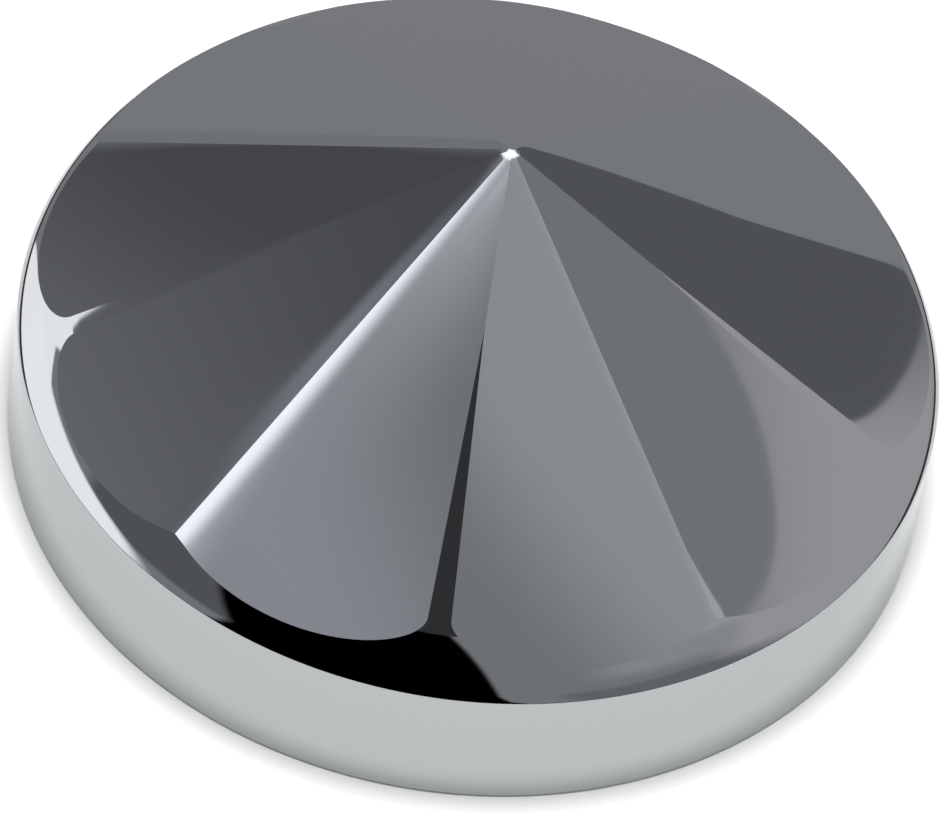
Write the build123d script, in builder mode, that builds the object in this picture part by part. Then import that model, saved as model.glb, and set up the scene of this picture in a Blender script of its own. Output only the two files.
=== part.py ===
from build123d import *
from math import asin, atan, atan2, cos, degrees, hypot, radians, sin
import os

# A pointed chrome-plated hubcap: one moulded shell, open underneath.
# Origin: centre of the open rim, on the plane that the cap stands on. +Z runs up the symmetry axis.
# Ten flat facets run from the point to the shoulder. They meet in five crisp ridges, one of which
# lies along +Y, and in five soft ridges between them, where a strip of the turned crown is left.

# Skirt: the plain wall round the cap, slightly wider at its open rim
skirt_top_radius = 106.3
skirt_flare = 1.7               # by which the open rim is wider
skirt_height = 32.0
skirt_edge_rounding = 0.5
rim_edge_rounding = 0.6

# Facets of the crown
crown_height = 59.0             # sharp point of the facets above the skirt's top edge
facet_foot_height = 4.0         # middle of a facet above that edge, if it ran out that far
crisp_ridges = 5
facet_turn = 2.0                # degrees that each facet is turned towards its crisp ridge
crisp_ridge_rounding = 3.0

# The turned crown that the facets are cut into
soft_ridge_start_radius = 37.0  # where its strips begin to show along the soft ridges
soft_ridge_width = 5.0          # of a strip where it reaches the shoulder
shoulder_width = 11.3           # from the skirt's top edge inwards
nose_radius = 8.0

# The hollow underneath
crown_wall = 3.0
skirt_wall = 3.0                # at the skirt's top edge

# Worked out from the sizes above
skirt_foot_radius = skirt_top_radius + skirt_flare
bore_radius = skirt_top_radius - skirt_wall
shoulder_start_radius = skirt_top_radius - shoulder_width
point_height = skirt_height + crown_height
half_pitch = 180 / (2 * crisp_ridges)
facet_fall = (crown_height - facet_foot_height) / skirt_top_radius
facet_tilt = atan(facet_fall)

# The turned cone crosses the middle of each soft ridge where its strip begins, and the edges of
# the facets beside it where the shoulder begins.
strip_half_angle = asin(soft_ridge_width / 2 / shoulder_start_radius)
soft_ridge_fall = facet_fall * cos(radians(half_pitch + facet_turn))
strip_edge_fall = facet_fall * cos(radians(half_pitch + facet_turn) - strip_half_angle)
strip_start_drop = soft_ridge_fall * soft_ridge_start_radius
strip_end_drop = strip_edge_fall * shoulder_start_radius
cone_fall = (strip_end_drop - strip_start_drop) / (shoulder_start_radius - soft_ridge_start_radius)
cone_tilt = degrees(atan(cone_fall))
cone_point_height = point_height + cone_fall * soft_ridge_start_radius - strip_start_drop
shoulder_start_height = point_height - strip_end_drop
nose_centre_height = cone_point_height - nose_radius / cos(radians(cone_tilt))

# The shoulder is the arc that leaves the cone smoothly and ends on the skirt's top edge.
shoulder_run = skirt_top_radius - shoulder_start_radius
shoulder_drop = shoulder_start_height - skirt_height
shoulder_half_turn = atan2(shoulder_drop, shoulder_run) - radians(cone_tilt)
shoulder_radius = hypot(shoulder_run, shoulder_drop) / (2 * sin(shoulder_half_turn))
shoulder_centre = (
    shoulder_start_radius - shoulder_radius * sin(radians(cone_tilt)),
    shoulder_start_height - shoulder_radius * cos(radians(cone_tilt)),
)


def crown_body(inset, foot_radius, top_radius):
    """Solid cap on a skirt with these radii, its crown moved inwards by inset."""
    arc_radius = shoulder_radius - inset
    top_lean = degrees(asin((top_radius - shoulder_centre[0]) / arc_radius))
    skirt_top = shoulder_centre[1] + arc_radius * cos(radians(top_lean))
    nose_top = nose_centre_height + nose_radius - inset

    with BuildPart() as body:
        with BuildSketch(Plane.XZ):
            with BuildLine():
                Polyline((0, nose_top), (0, 0), (foot_radius, 0), (top_radius, skirt_top))
                shoulder = CenterArc(shoulder_centre, arc_radius, 90 - top_lean, top_lean - cone_tilt)
                nose = CenterArc((0, nose_centre_height), nose_radius - inset, 90 - cone_tilt, cone_tilt)
                Line(shoulder @ 1, nose @ 0)
            make_face()
        revolve(axis=Axis.Z)
        for ridge in range(crisp_ridges):
            for side in (-1, 1):
                facing = radians(90 + 4 * half_pitch * ridge + side * (half_pitch - facet_turn))
                normal = (sin(facet_tilt) * cos(facing), sin(facet_tilt) * sin(facing), cos(facet_tilt))
                through = (0, 0, point_height - inset / cos(facet_tilt))
                split(bisect_by=Plane(origin=through, z_dir=normal), keep=Keep.BOTTOM)
    return body.part


solid_cap = crown_body(0, skirt_foot_radius, skirt_top_radius)
hollow = crown_body(crown_wall, bore_radius, bore_radius)

with BuildPart() as cap_shell:
    add(solid_cap)
    ridges = edges().filter_by(GeomType.LINE).filter_by(lambda edge: edge.center().Z > skirt_height)
    fillet(ridges.group_by(SortBy.LENGTH)[-1], radius=crisp_ridge_rounding)
    skirt_circles = edges().filter_by(GeomType.CIRCLE).group_by(Axis.Z)
    fillet(skirt_circles[1], radius=skirt_edge_rounding)
    fillet(edges().filter_by(GeomType.CIRCLE).group_by(Axis.Z)[0], radius=rim_edge_rounding)
    add(hollow, mode=Mode.SUBTRACT)

cap_shell.part.label = "cap_shell"
os.makedirs("parts", exist_ok=True)
export_step(cap_shell.part, "parts/cap_shell.step")
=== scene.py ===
# %% [markdown]
# A pointed chrome hubcap, dressed round its construction model.
#
# The real thing is one moulding with a bright plated skin. Nearly all that the eye sees is the room
# reflected in it, so the lesson has two halves: a surface whose curves and creases are exact, and a
# small tent of soft light for that surface to mirror. Everything is in metres, with +Z up and the open
# rim of the cap at Z = 0.

# %% Load the frame
import math

import bpy
from mathutils import Matrix, Vector


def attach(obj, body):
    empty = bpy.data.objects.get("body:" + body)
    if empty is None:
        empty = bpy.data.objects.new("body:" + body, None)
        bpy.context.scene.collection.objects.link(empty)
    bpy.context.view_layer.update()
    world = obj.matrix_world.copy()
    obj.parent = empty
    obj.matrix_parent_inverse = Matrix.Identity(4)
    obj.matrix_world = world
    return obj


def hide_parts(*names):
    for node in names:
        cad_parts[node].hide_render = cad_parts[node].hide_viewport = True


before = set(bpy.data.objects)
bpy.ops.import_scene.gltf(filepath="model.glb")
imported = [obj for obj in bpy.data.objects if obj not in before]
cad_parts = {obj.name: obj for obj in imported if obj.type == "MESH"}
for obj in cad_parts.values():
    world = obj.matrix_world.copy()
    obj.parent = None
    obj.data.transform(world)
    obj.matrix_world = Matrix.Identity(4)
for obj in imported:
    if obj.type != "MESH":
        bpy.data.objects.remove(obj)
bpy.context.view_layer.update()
scene = bpy.context.scene

# %% [markdown]
# The cap's sizes are the moulding's own. Ten flat facets, in five pairs, are cut into a turned crown:
# a cone that rolls over into a shoulder. The facets meet in five crisp ridges. Between these are five
# soft ridges, where a thin strip of the cone is left.

# %% Name the sizes of the moulding
MM = 0.001
skirt_top_radius = 106.3 * MM
skirt_foot_radius = 108.0 * MM
skirt_height = 32.0 * MM
crown_height = 59.0 * MM
facet_foot_height = 4.0 * MM
soft_ridge_start = 37.0 * MM
soft_ridge_width = 5.0 * MM
shoulder_width = 11.3 * MM
nose_run = 2.8 * MM
wall = 3.0 * MM
edge_setback = 0.35 * MM
rim_rounding = 0.6 * MM
ridge_rounding = 4.5 * MM
ridge_roll = 0.5
facet_bulge = 0.35 * MM
crisp_ridges = 5
ridge_angle = math.pi / crisp_ridges
facet_turn = math.radians(2)
print("skirt and crown, mm:", round(skirt_height / MM, 1), round(crown_height / MM, 1))

# %% [markdown]
# The shoulder isn't given: it follows. It is the arc that leaves the cone smoothly and ends on the
# skirt's top edge. The fall of the cone comes from where its strips begin and how wide they end.

# %% Work out the cone and the shoulder
point_height = skirt_height + crown_height
facet_fall = (crown_height - facet_foot_height) / skirt_top_radius
facet_middle = ridge_angle / 2 - facet_turn
shoulder_start = skirt_top_radius - shoulder_width
strip_half_angle = math.asin(soft_ridge_width / 2 / shoulder_start)
strip_start_drop = facet_fall * math.cos(ridge_angle - facet_middle) * soft_ridge_start
strip_end_drop = facet_fall * math.cos(ridge_angle - facet_middle - strip_half_angle) * shoulder_start
cone_fall = (strip_end_drop - strip_start_drop) / (shoulder_start - soft_ridge_start)
cone_tilt = math.atan(cone_fall)
cone_point = point_height + cone_fall * soft_ridge_start - strip_start_drop
shoulder_drop = point_height - strip_end_drop - skirt_height
half_turn = math.atan2(shoulder_drop, shoulder_width) - cone_tilt
shoulder_radius = math.hypot(shoulder_width, shoulder_drop) / (2 * math.sin(half_turn))
shoulder_lean = cone_tilt + 2 * half_turn
last_lean = shoulder_lean - edge_setback / shoulder_radius
arc_centre_radius = shoulder_start - shoulder_radius * math.sin(cone_tilt)
arc_centre_height = skirt_height + shoulder_drop - shoulder_radius * math.cos(cone_tilt)
print("shoulder radius, mm:", round(shoulder_radius / MM, 2))
print("its lean at the skirt, degrees:", round(math.degrees(shoulder_lean), 1))

# %% [markdown]
# A node tree is hard to read as a chain of Math nodes. Two small classes let a formula be written as
# Python writes it: Board adds a node, and Wire is a number on a socket whose operators add Math nodes.
# Geometry Nodes and materials share their Math node, so the same two classes serve both.

# %% Write node formulas as Python expressions
class Board:
    """A node tree and the one way that this file adds nodes to it."""

    def __init__(self, tree):
        self.tree = tree

    def node(self, kind, settings=None, inputs=None):
        """A node of this kind: its settings are made first, then its sockets' values or links."""
        made = self.tree.nodes.new(kind)
        for name, choice in (settings or {}).items():
            setattr(made, name, choice)
        for name, value in (inputs or {}).items():
            socket = made.inputs[name]
            source = value.socket if isinstance(value, Wire) else value
            if isinstance(source, bpy.types.NodeSocket):
                self.tree.links.new(source, socket)
            else:
                socket.default_value = source
        return made

    def math(self, operation, *terms):
        """One Math node on these terms."""
        made = self.node("ShaderNodeMath", {"operation": operation}, dict(enumerate(terms)))
        return Wire(self, made.outputs[0])

    def ease(self, value, width):
        """Soft step from 0 to 1 while the value runs from 0 to the width."""
        made = self.node("ShaderNodeMapRange", {"interpolation_type": "SMOOTHSTEP"}, {
            "Value": value, "From Min": 0.0, "From Max": width})
        return Wire(self, made.outputs[0])


class Wire:
    """A number that runs through a node tree."""

    def __init__(self, board, socket):
        self.board = board
        self.socket = socket

    def __add__(self, other):
        return self.board.math("ADD", self, other)

    def __radd__(self, other):
        return self.board.math("ADD", other, self)

    def __sub__(self, other):
        return self.board.math("SUBTRACT", self, other)

    def __rsub__(self, other):
        return self.board.math("SUBTRACT", other, self)

    def __mul__(self, other):
        return self.board.math("MULTIPLY", self, other)

    def __rmul__(self, other):
        return self.board.math("MULTIPLY", other, self)

    def __truediv__(self, other):
        return self.board.math("DIVIDE", self, other)

    def __pow__(self, other):
        return self.board.math("POWER", self, other)

    def cos(self):
        return self.board.math("COSINE", self)

    def sin(self):
        return self.board.math("SINE", self)

    def arccos(self):
        return self.board.math("ARCCOSINE", self)

    def arcsin(self):
        return self.board.math("ARCSINE", self)

    def root(self):
        return self.board.math("SQRT", self)

    def at_most(self, other):
        return self.board.math("MINIMUM", self, other)

    def at_least(self, other):
        return self.board.math("MAXIMUM", self, other)


# %% [markdown]
# A mirror shows every fault of a mesh, so the crown isn't left to a general mesher. It follows a rule,
# and Geometry Nodes can follow the same rule. One tenth of the cap, from a crisp ridge to the soft
# ridge beside it, is a stack of grids. Their columns run down the ridges and along the strip's edge,
# and their rows meet exactly on the crease round the shoulder. The tenth is mirrored and repeated.

# %% Start the tree that makes the shell
shell_tree = bpy.data.node_groups.new("faceted_shell", "GeometryNodeTree")
shell_tree.interface.new_socket("Shell", in_out="OUTPUT", socket_type="NodeSocketGeometry")
shell_sizes = {
    "Point height": point_height,
    "Facet fall": facet_fall,
    "Facet middle": facet_middle,
    "Cone point": cone_point,
    "Cone fall": cone_fall,
    "Shoulder radius": shoulder_radius,
    "Ridge rounding": ridge_rounding,
    "Ridge roll": ridge_roll,
    "Facet bulge": facet_bulge,
    "Nose run": nose_run,
    "Wall": wall,
}
for title in shell_sizes:
    shell_tree.interface.new_socket(title, in_out="INPUT", socket_type="NodeSocketFloat")
board = Board(shell_tree)
entry = board.node("NodeGroupInput")
size = {title: Wire(board, entry.outputs[title]) for title in shell_sizes}
print("sizes that the tree takes:", ", ".join(shell_sizes))

# %% [markdown]
# These are the rules that the rows and columns follow. Each takes an azimuth or a radius as a number
# in the tree, and gives back another: how fast a facet falls along a line from the point, where the
# strip of cone begins beside it, and where the facet runs into the shoulder.

# %% Give the tree the crown's rules
COLUMNS = 48
STRIP_SHARE = 1 / 12


def eased(share):
    """Soft step that is level at 0 and at 1."""
    return share * share * (3 - share * 2)


def facet_drop(azimuth):
    """Fall of the facet for each metre outwards, at this azimuth from the crisp ridge."""
    return size["Facet fall"] * (azimuth - size["Facet middle"]).cos()


def strip_edge(radius):
    """Azimuth where the facet gives way to the turned cone, or the soft ridge's own azimuth."""
    level = size["Point height"] - size["Cone point"] + size["Cone fall"] * radius
    edge = size["Facet middle"] + (level / (size["Facet fall"] * radius)).at_most(1).arccos()
    return edge.at_most(ridge_angle)


def meet_circle(azimuth, top, centre_radius, centre_height, radius):
    """Outer radius where the facet's line from the height top meets a circle in the section."""
    drop = facet_drop(azimuth)
    rise = top - centre_height
    slant = drop * drop + 1
    along = drop * rise + centre_radius
    reach = rise * rise + centre_radius * centre_radius - radius * radius
    spread = (along * along - slant * reach).at_least(0).root()
    return (along + spread) / slant


# %% [markdown]
# A moulded facet is never dead flat, and a crisp ridge never dead sharp. Both show at once in chrome,
# as reflections that slide a little across the facet and as a thin line of light along the ridge. So
# each facet is crowned by a third of a millimetre, and rolls off beside its crisp ridge.

# %% Say how far a facet stands off its flat plane
def stand_off(share_across, azimuth, share_down):
    """Slight crowning of the facet, less what the rounding takes off the crisp ridge."""
    across = eased(share_across)
    crowning = size["Facet bulge"] * share_down * across * (1 - across) * 4
    nominal = nose_run + share_down * (shoulder_start - nose_run)
    short = (size["Ridge rounding"] - nominal * azimuth.sin()).at_least(0)
    side_fall = size["Facet fall"] * size["Facet middle"].sin()
    return crowning - side_fall * short * short * size["Ridge roll"] / (size["Ridge rounding"] * 2)


# %% [markdown]
# A grid is a flat sheet of squares. Its X says how far a point lies across the tenth, from 0 on the
# crisp ridge to 1 on the soft one, and its Y how far down the zone. Set Position then lays each point
# where the zone's rule says. The last twelfth of the columns belongs to the strip of cone.

# %% Lay one zone of the tenth
zones = []


def point_parts():
    """X, Y and Z of the point that the tree is at, as numbers."""
    position = board.node("GeometryNodeInputPosition").outputs[0]
    parts = board.node("ShaderNodeSeparateXYZ", None, {0: position})
    return [Wire(board, part) for part in parts.outputs]


def start_zone(rows):
    """A fresh grid with its share across the facet, across the strip, and down the zone."""
    grid = board.node("GeometryNodeMeshGrid", None, {
        "Size X": 1.0, "Size Y": 1.0, "Vertices X": COLUMNS + 1, "Vertices Y": rows + 1})
    sheet_x, sheet_y, _ = point_parts()
    across = sheet_x + 0.5
    down = sheet_y + 0.5
    on_facet = (across / (1 - STRIP_SHARE)).at_most(1)
    on_strip = ((across - (1 - STRIP_SHARE)) / STRIP_SHARE).at_least(0)
    return grid, on_facet, on_strip, down


def column_azimuth(on_facet, on_strip, edge):
    """Azimuth of a column; the columns stand closer together by both ridges."""
    return eased(on_facet) * edge + on_strip * (ridge_angle - edge)


def lay_zone(grid, azimuth, radius, height, finish):
    """Put the sheet's points where these say, coat it with the finish and keep it."""
    spot = board.node("ShaderNodeCombineXYZ", None, {
        "X": radius * azimuth.cos(), "Y": radius * azimuth.sin(), "Z": height})
    laid = board.node("GeometryNodeSetPosition", None, {
        "Geometry": grid.outputs["Mesh"], "Position": spot.outputs[0]})
    coated = board.node("GeometryNodeSetMaterial", None, {
        "Geometry": laid.outputs[0], "Material": finish})
    zones.append(coated.outputs[0])


# %% Name the two finishes, to be filled in later
plated = bpy.data.materials.new("bright_chrome")
dull_plated = bpy.data.materials.new("dull_inside_plating")
print("finishes:", plated.name, "and", dull_plated.name)

# %% [markdown]
# The crown of the real cap comes to a point that is just blunt enough to hold. Here a small nose takes
# the last 2.8 mm of each facet and flattens smoothly to the axis. The facets run from there down to
# the crease, and the shoulder rolls from the crease to the skirt.

# %% Say where the nose ends and the crease runs
def crown_columns(on_facet, on_strip, down):
    """Azimuth of a column at this row: it follows the ridge or the edge of the strip."""
    nominal = nose_run + down * (shoulder_start - nose_run)
    return column_azimuth(on_facet, on_strip, strip_edge(nominal))


def nose_reach(azimuth):
    """Radius where the nose ends: a straight line across the facet."""
    return size["Nose run"] / (azimuth - size["Facet middle"]).cos()


def crease_reach(on_facet, on_strip):
    """Radius of the crease; on the strip there is none, and the shoulder starts where the cone ends."""
    azimuth = eased(on_facet) * (ridge_angle - strip_half_angle)
    top = size["Point height"] + stand_off(on_facet, azimuth, 1.0)
    return meet_circle(azimuth, top, arc_centre_radius, arc_centre_height, size["Shoulder radius"])


# %% Lay the nose
grid, on_facet, on_strip, down = start_zone(rows=10)
here = crown_columns(on_facet, on_strip, 0.0)
nose_fall = size["Facet fall"] * size["Nose run"]
nose_lift = eased(down) * stand_off(on_facet, here, 0.0)
nose_height = size["Point height"] + nose_lift - nose_fall * (down * down + 1) / 2
lay_zone(grid, here, nose_reach(here) * down, nose_height, plated)

# %% Lay the facets and the strips of cone
grid, on_facet, on_strip, down = start_zone(rows=48)
here = crown_columns(on_facet, on_strip, down)
nose_out = nose_reach(here)
crown_out = nose_out + down * (crease_reach(on_facet, on_strip) - nose_out)
lift = stand_off(on_facet, here, down)
facet_height = size["Point height"] + lift - facet_drop(here) * crown_out
cone_height = size["Cone point"] - size["Cone fall"] * crown_out
lay_zone(grid, here, crown_out, facet_height.at_most(cone_height), plated)

# %% Lay the shoulder
grid, on_facet, on_strip, down = start_zone(rows=28)
on_crease = column_azimuth(on_facet, on_strip, ridge_angle - strip_half_angle)
first_lean = ((crease_reach(on_facet, on_strip) - arc_centre_radius) / size["Shoulder radius"]).arcsin()
lean = first_lean + down * (last_lean - first_lean)
shoulder_out = arc_centre_radius + size["Shoulder radius"] * lean.sin()
shoulder_height = arc_centre_height + size["Shoulder radius"] * lean.cos()
lay_zone(grid, on_crease, shoulder_out, shoulder_height, plated)
print("zones so far:", len(zones))

# %% [markdown]
# Below the shoulder the cap is turned: the skirt, its two rounded edges, the flat rim and the straight
# bore. A rounded edge is a quadratic curve between two points with the sharp corner as its handle.

# %% Work out the corners of the skirt and the rim
arc_end = (arc_centre_radius + shoulder_radius * math.sin(last_lean),
           arc_centre_height + shoulder_radius * math.cos(last_lean))
flare = (skirt_foot_radius - skirt_top_radius) / skirt_height
corner = (skirt_top_radius, skirt_height)
skirt_start = (skirt_top_radius + edge_setback * flare, skirt_height - edge_setback)
skirt_end = (skirt_foot_radius - rim_rounding * flare, rim_rounding)
foot = (skirt_foot_radius, 0.0)
rim_start = (skirt_foot_radius - rim_rounding, 0.0)
bore_radius = skirt_top_radius - wall
inner_lean = math.asin((bore_radius - arc_centre_radius) / (shoulder_radius - wall))
bore_top = arc_centre_height + (shoulder_radius - wall) * math.cos(inner_lean)
print("bore, mm across and deep:", round(2 * bore_radius / MM, 1), round(bore_top / MM, 1))

# %% Lay the skirt, the rim and the bore
def lay_turned(rows, start, end, finish, handle=None):
    """A turned zone from start to end, (radius, height), straight or bent towards handle."""
    grid, on_facet, on_strip, down = start_zone(rows)
    azimuth = column_azimuth(on_facet, on_strip, ridge_angle - strip_half_angle)
    if handle is None:
        path = [down * (last - first) + first for first, last in zip(start, end)]
    else:
        left = 1 - down
        path = [left * left * first + left * down * (2 * middle) + down * down * last
                for first, middle, last in zip(start, handle, end)]
    lay_zone(grid, azimuth, *path, finish)


lay_turned(7, arc_end, skirt_start, plated, handle=corner)
lay_turned(8, skirt_start, skirt_end, plated)
lay_turned(6, skirt_end, rim_start, plated, handle=foot)
lay_turned(1, rim_start, (bore_radius, 0.0), plated)
lay_turned(8, (bore_radius, 0.0), (bore_radius, bore_top), dull_plated)
print("zones so far:", len(zones))

# %% [markdown]
# The inside follows the outside, one wall further in: an arc at first, then flat facets and strips of
# cone that run to a point. Nobody sees it closely, so it has fewer rows and no crowning.

# %% Lay the inside of the shoulder
inner_point = size["Point height"] - size["Wall"] / math.cos(math.atan(facet_fall))
inner_cone_point = size["Cone point"] - size["Wall"] / math.cos(cone_tilt)
inner_arc_radius = size["Shoulder radius"] - size["Wall"]
inner_start = arc_centre_radius + (shoulder_radius - wall) * math.sin(cone_tilt)

grid, on_facet, on_strip, down = start_zone(rows=12)
on_crease = column_azimuth(on_facet, on_strip, ridge_angle - strip_half_angle)
lean = inner_lean - down * (inner_lean - cone_tilt)
inner_out = inner_arc_radius * lean.sin() + arc_centre_radius
inner_arc = inner_arc_radius * lean.cos() + arc_centre_height
inner_facet = inner_point - facet_drop(on_crease) * inner_out
lay_zone(grid, on_crease, inner_out, inner_arc.at_most(inner_facet), dull_plated)

# %% Lay the inside of the crown
grid, on_facet, on_strip, down = start_zone(rows=20)
on_crease = column_azimuth(on_facet, on_strip, ridge_angle - strip_half_angle)
inner_out = (1 - down) * inner_start
inner_facet = inner_point - facet_drop(on_crease) * inner_out
inner_cone = inner_cone_point - size["Cone fall"] * inner_out
lay_zone(grid, on_crease, inner_out, inner_facet.at_most(inner_cone), dull_plated)
print("zones of the tenth:", len(zones))

# %% [markdown]
# The stacked zones are joined, turned right side out, mirrored and set round the axis. Realize
# Instances makes the copies real, and merging closes the seams. Shading is smooth except across edges
# that really turn: the creases between the facets, the strips and the shoulder.

# %% Mirror and repeat the tenth
SHARP_TURN = math.radians(3)
SHARP_ABOVE = skirt_height + 2 * MM
SEAM_REACH = 0.002 * MM
tenth = board.node("GeometryNodeJoinGeometry")
for zone in zones:
    shell_tree.links.new(zone, tenth.inputs[0])
outward = board.node("GeometryNodeFlipFaces", None, {0: tenth.outputs[0]})
reflected = board.node("GeometryNodeTransform", None, {0: tenth.outputs[0], "Scale": (1, -1, 1)})
pair = board.node("GeometryNodeJoinGeometry")
shell_tree.links.new(outward.outputs[0], pair.inputs[0])
shell_tree.links.new(reflected.outputs[0], pair.inputs[0])
places = board.node("GeometryNodeMeshLine", None, {"Count": crisp_ridges, "Offset": (0, 0, 0)})
number = Wire(board, board.node("GeometryNodeInputIndex").outputs[0])
turn = board.node("ShaderNodeCombineXYZ", None, {"Z": number * (2 * ridge_angle) + math.pi / 2})
ring = board.node("GeometryNodeInstanceOnPoints", None, {
    "Points": places.outputs[0], "Instance": pair.outputs[0], "Rotation": turn.outputs[0]})
real = board.node("GeometryNodeRealizeInstances", None, {0: ring.outputs[0]})
closed = board.node("GeometryNodeMergeByDistance", None, {0: real.outputs[0], "Distance": SEAM_REACH})
print("tenths in the shell:", 2 * crisp_ridges)

# %% Shade it smooth, except across the creases
bend = Wire(board, board.node("GeometryNodeInputMeshEdgeAngle").outputs[0])
_, _, height = point_parts()
on_crown = board.math("GREATER_THAN", height, SHARP_ABOVE)
crisp = board.math("GREATER_THAN", bend, SHARP_TURN) * on_crown
smooth = board.node("GeometryNodeSetShadeSmooth", {"domain": "FACE"}, {
    0: closed.outputs[0], "Shade Smooth": True})
edged = board.node("GeometryNodeSetShadeSmooth", {"domain": "EDGE"}, {
    0: smooth.outputs[0], "Selection": crisp, "Shade Smooth": False})
board.node("NodeGroupOutput", None, {0: edged.outputs[0]})
print("nodes in the tree:", len(shell_tree.nodes))

# %% [markdown]
# A modifier on an empty carrier runs the tree. Its inputs are set by each socket's identifier, because
# the names alone aren't kept on a modifier. The result is copied to a plain mesh, which is the piece
# that moves with the frame's root and stands in for the construction shell.

# %% Turn the result into a plain mesh
carrier = bpy.data.objects.new("shell_carrier", bpy.data.meshes.new("shell_carrier"))
scene.collection.objects.link(carrier)
maker = carrier.modifiers.new("faceted_shell", "NODES")
maker.node_group = shell_tree
for item in shell_tree.interface.items_tree:
    if item.in_out == "INPUT":
        maker[item.identifier] = shell_sizes[item.name]
evaluated = carrier.evaluated_get(bpy.context.evaluated_depsgraph_get())
shell_mesh = bpy.data.meshes.new_from_object(evaluated)
carrier.modifiers.remove(maker)
bpy.data.objects.remove(carrier)
shell = bpy.data.objects.new("polished_shell", shell_mesh)
scene.collection.objects.link(shell)
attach(shell, "root")
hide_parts("cap_shell")
triangles = sum(len(face.vertices) - 2 for face in shell_mesh.polygons)
print("shell:", len(shell_mesh.vertices), "vertices,", triangles, "triangles")

# %% [markdown]
# Bright chrome is a metal shader with almost no roughness. Its own colour is a mid grey with a breath
# of blue, so white reflects as light grey. Real plating is never optically flat: a very slow, shallow
# waviness bends the reflections a little, and the polish differs slightly from place to place.

# %% Start a finish
def new_finish(material):
    """An empty tree for a finish, with its output node."""
    material.use_nodes = True
    material.node_tree.nodes.clear()
    finish = Board(material.node_tree)
    return finish, finish.node("ShaderNodeOutputMaterial")


# %% [markdown]
# Chromium is a little darker at a glancing angle than a plain metal would be. Specular Tint says so.
# The inside of the cap is plated too, but unpolished, so it has the same tree with a rougher surface.

# %% Finish the plating
GLANCE_TONE = (0.82, 0.82, 0.82, 1.0)
WAVES_PER_METRE = 22.0
HAZE_PER_METRE = 60.0


def finish_plating(material, tone, roughness, spread, wave_height):
    """Metal with slow waves in it, whose roughness wanders by the spread."""
    finish, out = new_finish(material)
    place = finish.node("ShaderNodeTexCoord").outputs["Object"]
    waves = finish.node("ShaderNodeTexNoise", None, {
        "Vector": place, "Scale": WAVES_PER_METRE, "Detail": 1.0})
    haze = finish.node("ShaderNodeTexNoise", None, {
        "Vector": place, "Scale": HAZE_PER_METRE, "Detail": 4.0})
    bump = finish.node("ShaderNodeBump", None, {
        "Height": waves.outputs["Fac"], "Strength": 1.0, "Distance": wave_height})
    polish = Wire(finish, haze.outputs["Fac"]) * spread + roughness
    metal = finish.node("ShaderNodeBsdfPrincipled", None, {
        "Base Color": (*tone, 1.0), "Metallic": 1.0, "Roughness": polish, "Normal": bump.outputs[0],
        "Specular Tint": GLANCE_TONE})
    finish.tree.links.new(metal.outputs[0], out.inputs["Surface"])


finish_plating(plated, (0.43, 0.451, 0.454), roughness=0.03, spread=0.02, wave_height=0.04 * MM)
finish_plating(dull_plated, (0.40, 0.41, 0.42), roughness=0.30, spread=0.15, wave_height=0.2 * MM)
print("nodes in the chrome:", len(plated.node_tree.nodes))

# %% [markdown]
# The floor is plain and pale. It lies a hair below the rim, because two faces in one plane would
# fight for every pixel.

# %% Lay the floor
FLOOR_TONE = (0.93, 0.935, 0.94, 1.0)
FLOOR_HALF = 1.6
FLOOR_GAP = 0.2 * MM


def stage_mesh(title, points, faces, material):
    """A piece of the studio that isn't part of the cap."""
    mesh = bpy.data.meshes.new(title)
    mesh.from_pydata(points, [], faces)
    mesh.materials.append(material)
    piece = bpy.data.objects.new(title, mesh)
    scene.collection.objects.link(piece)
    return piece


floor_paint = bpy.data.materials.new("pale_floor")
finish, out = new_finish(floor_paint)
pale = finish.node("ShaderNodeBsdfDiffuse", None, {"Color": FLOOR_TONE})
finish.tree.links.new(pale.outputs[0], out.inputs["Surface"])
sides = ((-1, -1), (1, -1), (1, 1), (-1, 1))
corners = [(x * FLOOR_HALF, y * FLOOR_HALF, -FLOOR_GAP) for x, y in sides]
stage_mesh("studio_floor", corners, [(0, 1, 2, 3)], floor_paint)
print("floor, metres across:", 2 * FLOOR_HALF)

# %% [markdown]
# Two things light the floor: a round bank of lamps overhead, which draws the soft shadow close round
# the skirt, and pale air that fills that shadow from all sides. The chrome mirrors neither. Apart from
# the floor beside it, it has a room of its own to mirror, which is made further down.

# %% Hang the bank of lamps and fill the air
BANK_WIDTH = 0.5
BANK_HEIGHT = 1.3
BANK_WATTS = 16.2
AIR_TONE = (0.92, 0.925, 0.93, 1.0)
AIR_STRENGTH = 0.4

key_data = bpy.data.lights.new("overhead_bank", "AREA")
key_data.shape = "DISK"
key_data.size = BANK_WIDTH
key_data.energy = BANK_WATTS
key = bpy.data.objects.new("overhead_bank", key_data)
key.location = (0.0, 0.0, BANK_HEIGHT)
key.visible_glossy = False
scene.collection.objects.link(key)

room = bpy.data.worlds.new("soft_room")
scene.world = room
room.use_nodes = True
room.node_tree.nodes.clear()
air = Board(room.node_tree)
soft = air.node("ShaderNodeBackground", None, {"Color": AIR_TONE, "Strength": AIR_STRENGTH})
air.node("ShaderNodeOutputWorld", None, {"Surface": soft.outputs[0]})
print("lamps, watts:", BANK_WATTS, "air:", AIR_STRENGTH)

# %% [markdown]
# What the chrome mirrors is a light tent: a dome of cloth with a flat hem on the floor. Only
# reflections see it. It glows in soft patches and is black in front, towards the photographer. The
# patches are fitted so that each facet mirrors the tone that it has in the photograph.
#
# A patch is named by where it stands as seen from the cap. Its row gives the azimuth of its middle (0
# is +X and 90 is +Y), its elevation above the floor, its roll, half its width and half its height, the
# feathers of its four sides, its tone and its tint. All angles are in degrees. A patch with only one
# feather is an oval.

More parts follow.
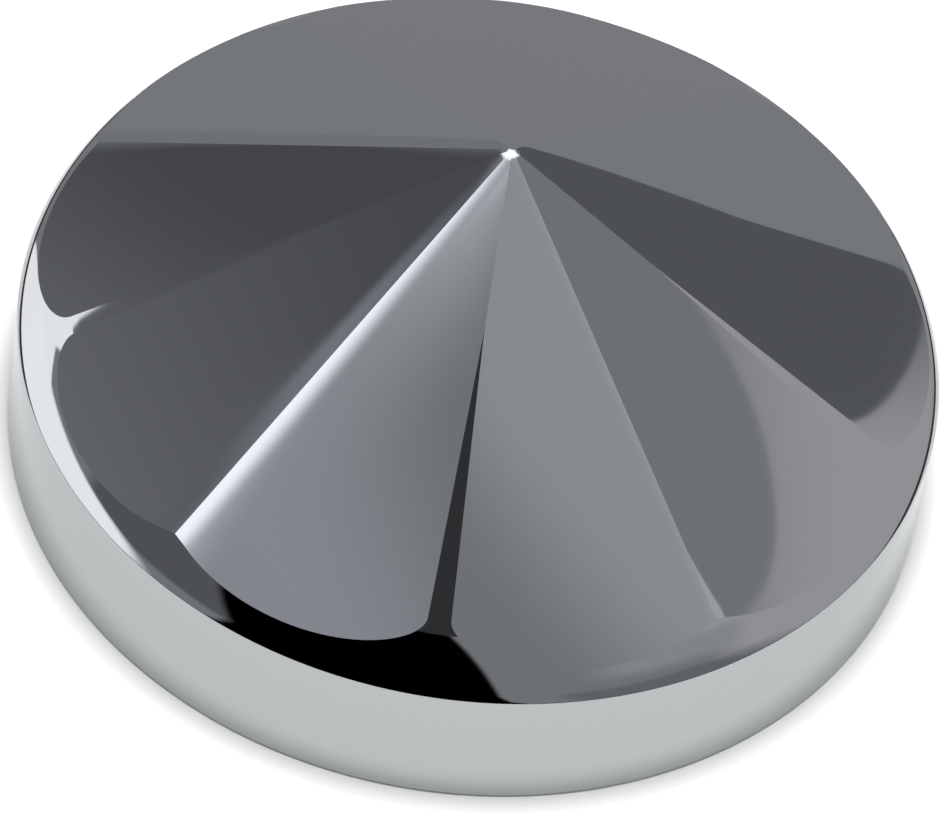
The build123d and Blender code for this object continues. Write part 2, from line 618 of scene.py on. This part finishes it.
# %% Name the patches of light and dark
COOL = (0.95, 0.96, 1.09)
EVEN = (0.975, 0.975, 1.05)
WARM = (1.005, 0.98, 1.015)
TENT_BASE = 0.30
patches = [
    ("back_hem", 79.8, -23, 57, (56.2, 44.3), (4.9, 2.6, 0.6, 3.3), 0.34, EVEN),
    ("left_dark", 138.1, 26, 74.1, (19.3, 17.7), (7.5, 5.2, 19.8, 9), 0.11, COOL),
    ("upper_left_dark", 164.3, 38.2, 36.9, (25.5, 16.8), (12.3, 7.8, 28.9, 2.2), 0.12, COOL),
    ("front_left_dark", 216.4, 18.7, 1.4, (29.9, 30.1), (7.1, 7.2, 6.1, 3.6), 0.15, COOL),
    ("right_light", 1.4, 10.1, 7.4, (48.8, 42.2), (17.3, 12.8, 16.2, 13.1), 0.52, WARM),
    ("right_dark", 56.1, 19.4, -8, (19.4, 10.3), (0.15,), 0.15, COOL),
    ("top_right", 349.4, 68.3, -11.7, (17.9, 22.4), (7.8, 6.8, 3.7, 21.1), 0.48, EVEN),
    ("corner_gleam", 355, 58, -41, (9, 16), (8, 1, 4, 4), 0.62, EVEN),
    ("upper_right_dark", 14.6, 55.3, 46.5, (17.6, 10.3), (0.15,), 0.30, EVEN),
    ("top_left", 210.9, 59.6, 2.5, (27.5, 9.8), (5.6, 17, 19.1, 22.9), 1.05, COOL),
    ("left_glow", 206.1, 66.8, 22.3, (7.7, 9), (7.7, 8.3, 29.8, 2.8), 1.11, EVEN),
    ("ridge_light", 201.5, 59, 40, (6.5, 17), (1, 7.5, 3, 5), 1.70, EVEN),
    ("left_light", 172, -14.9, -55.5, (38.6, 11.5), (12.4, 4.1, 0.9, 0.8), 1.40, WARM),
    ("left_cusp", 155.2, 10.4, -0.7, (9.6, 19.5), (1, 1.5, 5, 0.7), 1.41, WARM),
    ("front_black", 254.9, 7.4, 11.9, (29.7, 60.8), (3.8, 2, 4.3, 7.8), 0.00, EVEN),
    ("top_black", 273.4, 72.3, -3.2, (10.6, 23.5), (7.9, 2.1, 0.8, 6.5), 0.05, EVEN),
    ("front_right_grey", 315.9, 13.5, -6.1, (19.8, 15), (14.2, 7, 13.4, 9.1), 0.43, EVEN),
    ("low_right_dark", 309, -10, 0, (17, 9), (5, 4, 3, 5), 0.22, EVEN),
    ("left_gleam", 187.1, -9.5, -16.9, (43.7, 11), (3.3,), 1.45, WARM),
    ("tip_halo", 138, 70, 0, (17, 17), (6,), 1.40, EVEN),
    ("tip_light", 95, 62, 0, (36, 36), (13,), 1.90, WARM),
]
print("patches in the tent:", len(patches))

# %% [markdown]
# Each patch is laid over those before it, as a painter would. Its mask comes from three dot products,
# which say how far a spot on the tent lies to the side of the patch's middle and above it.

# %% Say where a patch is
GRAZING = 0.05


def patch_axes(azimuth, elevation, roll):
    """Directions out to the middle of a patch, along its width and along its height."""
    side, rise, lean = (math.radians(angle) for angle in (azimuth, elevation, roll))
    outward = Vector((math.cos(rise) * math.cos(side), math.cos(rise) * math.sin(side), math.sin(rise)))
    level = Vector((-math.sin(side), math.cos(side), 0))
    steep = outward.cross(level)
    along = level * math.cos(lean) + steep * math.sin(lean)
    return outward, along, outward.cross(along)


def patch_mask(board, direction, azimuth, elevation, roll, half, feather):
    """1 inside the patch and 0 outside it, with soft sides."""
    lengths = [Wire(board, board.node("ShaderNodeVectorMath", {"operation": "DOT_PRODUCT"}, {
        0: direction, 1: axis}).outputs["Value"]) for axis in patch_axes(azimuth, elevation, roll)]
    in_front = board.math("GREATER_THAN", lengths[0], GRAZING)
    reach = lengths[0].at_least(GRAZING)
    across, above = (length / reach * math.degrees(1) for length in lengths[1:])
    if len(feather) == 1:
        share = ((across / half[0]) ** 2 + (above / half[1]) ** 2).root()
        insets = [(1 - share) * min(half)]
    else:
        insets = [across + half[0], half[0] - across, above + half[1], half[1] - above]
    mask = in_front
    for inset, width in zip(insets, feather):
        mask = mask * board.ease(inset, width)
    return mask


# %% Paint the tent
TENT_GLOW = 1.209
tent_centre = Vector((0, 0, 0.05))

tent_paint = bpy.data.materials.new("tent_cloth")
finish, out = new_finish(tent_paint)
place = finish.node("ShaderNodeTexCoord").outputs["Object"]
offset = finish.node("ShaderNodeVectorMath", {"operation": "SUBTRACT"}, {0: place, 1: tent_centre})
aim = finish.node("ShaderNodeVectorMath", {"operation": "NORMALIZE"}, {0: offset.outputs[0]})
painted = tuple(TENT_BASE * part for part in EVEN) + (1.0,)
for title, azimuth, elevation, roll, half, feather, tone, tint in patches:
    mask = patch_mask(finish, aim.outputs[0], azimuth, elevation, roll, half, feather)
    laid = finish.node("ShaderNodeMix", {"data_type": "RGBA", "label": title}, {
        0: mask, 6: painted, 7: tuple(tone * part for part in tint) + (1.0,)})
    painted = laid.outputs[2]
glow = finish.node("ShaderNodeEmission", None, {"Color": painted, "Strength": TENT_GLOW})
finish.tree.links.new(glow.outputs[0], out.inputs["Surface"])
print("nodes in the tent's paint:", len(tent_paint.node_tree.nodes))

# %% [markdown]
# The tent's section runs outwards along the hem, a millimetre above the floor, and then up the dome
# almost to its top. Turning it round the axis gives the mesh.

# %% Pitch the tent
TENT_RADIUS = 0.6
HEM_RINGS = (0.15, 0.3, 0.45)
HEM_HEIGHT = 1 * MM
TOP_HOLE = 0.001
AROUND, UPWARD = 96, 24


def turned_points(section):
    """The points of a section, (radius, height), turned round the axis."""
    turns = [2 * math.pi * step / AROUND for step in range(AROUND)]
    return [(radius * math.cos(turn), radius * math.sin(turn), height)
            for radius, height in section for turn in turns]


section = [(radius, HEM_HEIGHT) for radius in HEM_RINGS]
lowest = math.asin((HEM_HEIGHT - tent_centre.z) / TENT_RADIUS)
for step in range(UPWARD + 1):
    rise = lowest + (math.pi / 2 - TOP_HOLE - lowest) * step / UPWARD
    section.append((TENT_RADIUS * math.cos(rise), tent_centre.z + TENT_RADIUS * math.sin(rise)))
faces = [(row * AROUND + column, row * AROUND + (column + 1) % AROUND,
          (row + 1) * AROUND + (column + 1) % AROUND, (row + 1) * AROUND + column)
         for row in range(len(section) - 1) for column in range(AROUND)]
tent = stage_mesh("light_tent", turned_points(section), faces, tent_paint)
print("tent faces:", len(faces))

# %% [markdown]
# The hem's inner edge is bound with dark tape, which the chrome mirrors as a thin dark line along the
# top edge of the skirt. The camera doesn't see the tent or its tape, and they cast no shadow.

# %% Bind the hem
BINDING_WIDTH = 12 * MM
BINDING_TONE = (0.06, 0.06, 0.065, 1.0)

binding_cloth = bpy.data.materials.new("hem_binding_cloth")
finish, out = new_finish(binding_cloth)
dark = finish.node("ShaderNodeEmission", None, {"Color": BINDING_TONE})
finish.tree.links.new(dark.outputs[0], out.inputs["Surface"])
rings = [(HEM_RINGS[0] + out_by, 1.5 * HEM_HEIGHT) for out_by in (0, BINDING_WIDTH)]
binding = stage_mesh("hem_binding", turned_points(rings), faces[:AROUND], binding_cloth)
for piece in (tent, binding):
    piece.visible_camera = False
    piece.visible_diffuse = False
    piece.visible_shadow = False
print("seen by reflections only:", tent.name, "and", binding.name)

# %% [markdown]
# The camera looks down at the cap from in front with a long lens, and leans a little, so that the cap
# lies turned in the picture as it does in the photograph. The plain Standard view keeps the greys of
# the chrome as they are.

# %% Place the camera
SENSOR_WIDTH = 36.0
IMAGE_WIDTH = 942
focal_pixels = 3800
elevation = math.radians(49.06)
azimuth = math.radians(0.7)
lean = math.radians(-9.45)
distance = 0.8732
aside, upward = 2.7 * MM, 18.5 * MM

level_right = Vector((1, 0, 0))
level_up = Vector((0, math.sin(elevation), math.cos(elevation)))
ahead = Vector((0, math.cos(elevation), -math.sin(elevation)))
right = level_right * math.cos(lean) - level_up * math.sin(lean)
up = level_right * math.sin(lean) + level_up * math.cos(lean)
turned = Matrix.Rotation(-azimuth, 4, "Z")
spot = Vector((0, 0, skirt_height)) + turned @ (-aside * right - upward * up - distance * ahead)
axes = Matrix((right, up, -ahead)).transposed().to_4x4()
camera_data = bpy.data.cameras.new("studio_camera")
camera_data.sensor_width = SENSOR_WIDTH
camera_data.lens = focal_pixels / IMAGE_WIDTH * SENSOR_WIDTH
camera = bpy.data.objects.new("studio_camera", camera_data)
camera.matrix_world = Matrix.Translation(spot) @ turned @ axes
scene.collection.objects.link(camera)
scene.camera = camera
scene.view_settings.view_transform = "Standard"
print("lens, mm:", round(camera_data.lens, 1))
